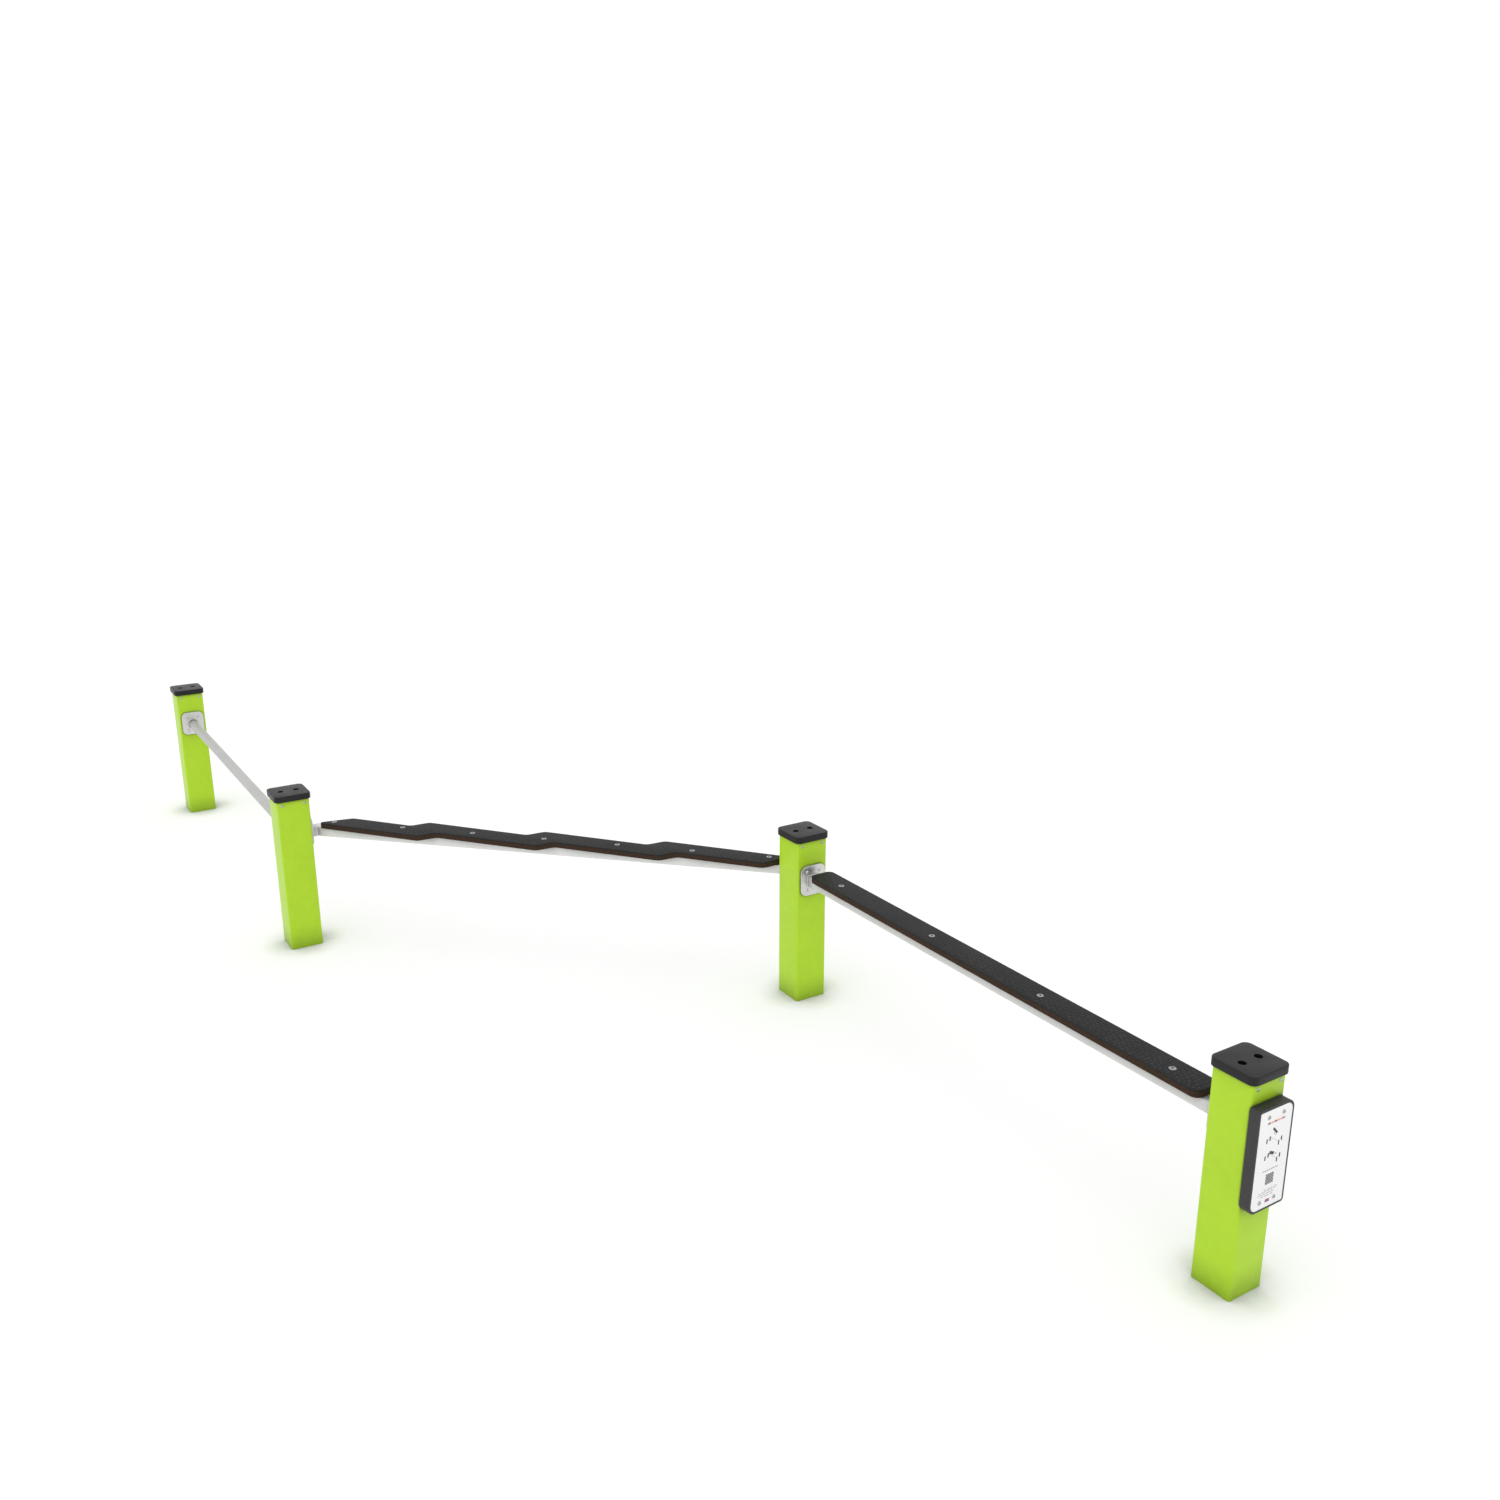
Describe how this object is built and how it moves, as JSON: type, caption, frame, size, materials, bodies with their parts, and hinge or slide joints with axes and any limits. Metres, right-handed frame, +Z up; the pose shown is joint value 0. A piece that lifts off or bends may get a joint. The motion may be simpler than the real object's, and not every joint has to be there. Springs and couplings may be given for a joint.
{
  "type": "balance trail",
  "caption": "Outdoor balance trail for a fitness park: square posts with grey caps, joined by a round rail, a zigzag plank and a straight plank.",
  "frame": {"origin": "middle of the footprint, on the ground", "axes": "+Z up, +Y along the two straight spans, from the sign's post towards the far end of the round rail"},
  "size_m": [1.2776, 4.437, 0.5168],
  "materials": {
    "post_paint": "smooth lime green powder coat, satin",
    "cap_plastic": "moulded dark grey plastic, fine grain",
    "galvanised_steel": "hot dip galvanised, pale grey, faint spangle",
    "zinc_fasteners": "bright zinc plated, satin",
    "plank_board": "board with a black anti-slip film on its upper face and bare brown edges",
    "backing_plastic": "moulded dark grey plastic",
    "sign_face": null
  },
  "bodies": {
    "root": {"post_1": "post_paint", "foot_plate_1": "galvanised_steel", "post_cap_1": "cap_plastic", "cap_screw_1_1": "zinc_fasteners", "cap_screw_1_2": "zinc_fasteners", "post_2": "post_paint", "foot_plate_2": "galvanised_steel", "post_cap_2": "cap_plastic", "cap_screw_2_1": "zinc_fasteners", "cap_screw_2_2": "zinc_fasteners", "post_3": "post_paint", "foot_plate_3": "galvanised_steel", "post_cap_3": "cap_plastic", "cap_screw_3_1": "zinc_fasteners", "cap_screw_3_2": "zinc_fasteners", "post_4": "post_paint", "foot_plate_4": "galvanised_steel", "post_cap_4": "cap_plastic", "cap_screw_4_1": "zinc_fasteners", "cap_screw_4_2": "zinc_fasteners", "sign_backing": "backing_plastic", "sign_plate": "sign_face", "sign_screw_1": "zinc_fasteners", "sign_screw_2": "zinc_fasteners", "sign_screw_3": "zinc_fasteners", "sign_screw_4": "zinc_fasteners", "round_rail_flange_1": "galvanised_steel", "round_rail_flange_2": "galvanised_steel", "zigzag_flange_2": "galvanised_steel", "zigzag_flange_3": "galvanised_steel", "straight_flange_3": "galvanised_steel", "straight_flange_4": "galvanised_steel", "round_rail": "galvanised_steel", "zigzag_beam": "galvanised_steel", "straight_beam": "galvanised_steel", "zigzag_plank": "plank_board", "straight_plank": "plank_board", "zigzag_plank_bolt_1": "zinc_fasteners", "zigzag_plank_bolt_2": "zinc_fasteners", "zigzag_plank_bolt_3": "zinc_fasteners", "zigzag_plank_bolt_4": "zinc_fasteners", "zigzag_plank_bolt_5": "zinc_fasteners", "zigzag_plank_bolt_6": "zinc_fasteners", "zigzag_plank_bolt_7": "zinc_fasteners", "straight_plank_bolt_1": "zinc_fasteners", "straight_plank_bolt_2": "zinc_fasteners", "straight_plank_bolt_3": "zinc_fasteners", "straight_plank_bolt_4": "zinc_fasteners"}
  },
  "joints": []
}
